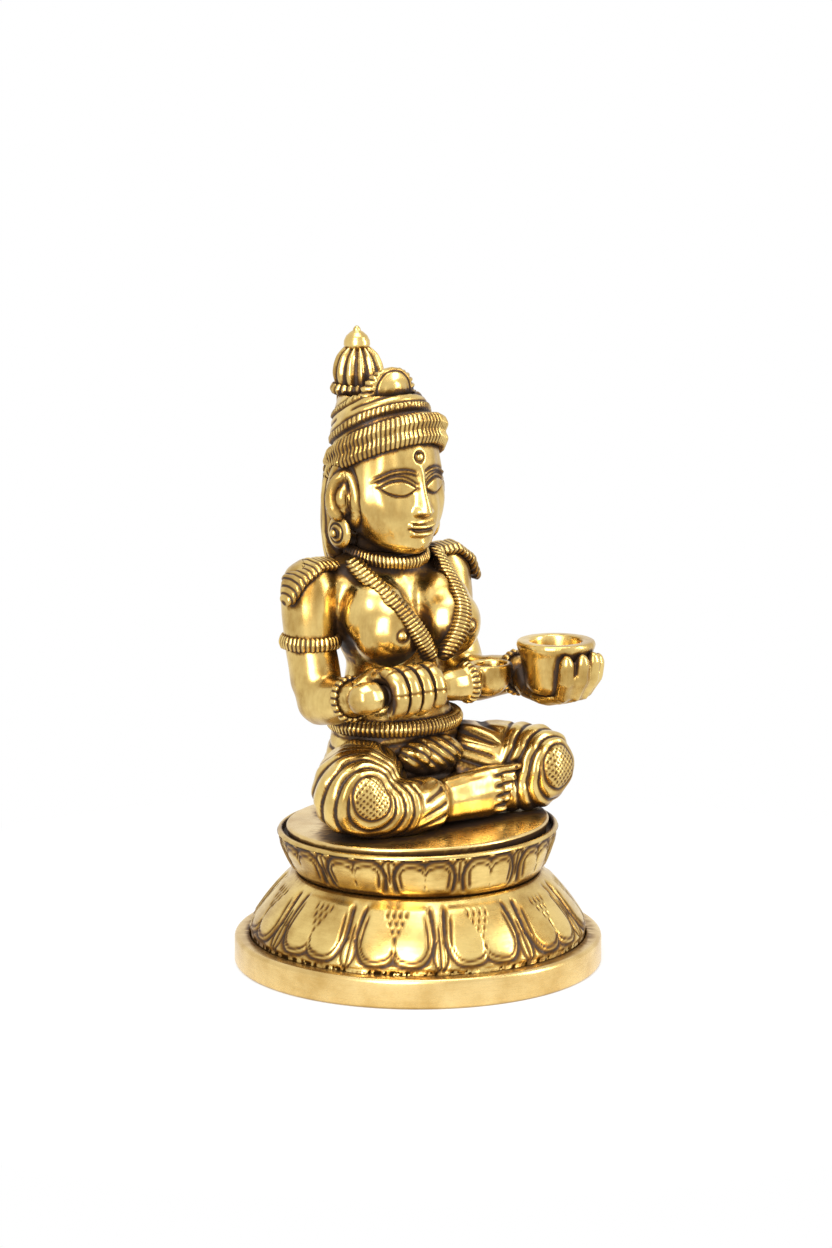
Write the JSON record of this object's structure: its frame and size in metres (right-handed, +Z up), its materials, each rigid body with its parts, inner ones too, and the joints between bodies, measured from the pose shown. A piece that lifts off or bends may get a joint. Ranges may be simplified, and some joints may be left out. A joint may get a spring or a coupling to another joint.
{
  "type": "goddess idol",
  "caption": "Seated brass goddess idol on a two-tier lotus pedestal, a ladle in its right hand and an offering bowl in its left, with jewellery and a crown",
  "frame": {"origin": "centre of the circle that the plinth stands on", "axes": "+Z up, the figure faces -Y, its right hand is towards -X"},
  "size_m": [0.086, 0.086, 0.1473],
  "materials": {
    "polished_brass": "lathe-turned, satin polish",
    "petal_brass": "brushed, dark in the cuts",
    "chased_brass": "chased, dark patina in recesses",
    "tie_steel": "plain turned"
  },
  "bodies": {
    "root": {"belt": "chased_brass", "bun_ring": "chased_brass", "choker": "chased_brass", "clamp_nut": "tie_steel", "clamp_washer": "tie_steel", "crest": "chased_brass", "finial": "chased_brass", "hair_bun": "chased_brass", "hair_fall": "chased_brass", "head": "chased_brass", "headband": "chased_brass", "hips": "chased_brass", "ladle": "chased_brass", "left_armlet": "chased_brass", "left_bracelet": "chased_brass", "left_earring": "chased_brass", "left_epaulette": "chased_brass", "left_forearm": "chased_brass", "left_garland": "chased_brass", "left_hand": "chased_brass", "left_leg": "chased_brass", "left_upper_arm": "chased_brass", "lower_lotus": "petal_brass", "offering_bowl": "chased_brass", "plinth_ring": "polished_brass", "right_armlet": "chased_brass", "right_bracelet": "chased_brass", "right_earring": "chased_brass", "right_epaulette": "chased_brass", "right_foot": "chased_brass", "right_forearm": "chased_brass", "right_garland": "chased_brass", "right_hand": "chased_brass", "right_leg": "chased_brass", "right_upper_arm": "chased_brass", "sash": "chased_brass", "seat_plate": "polished_brass", "tie_stud": "tie_steel", "torso": "chased_brass", "upper_lotus": "petal_brass"}
  },
  "joints": []
}
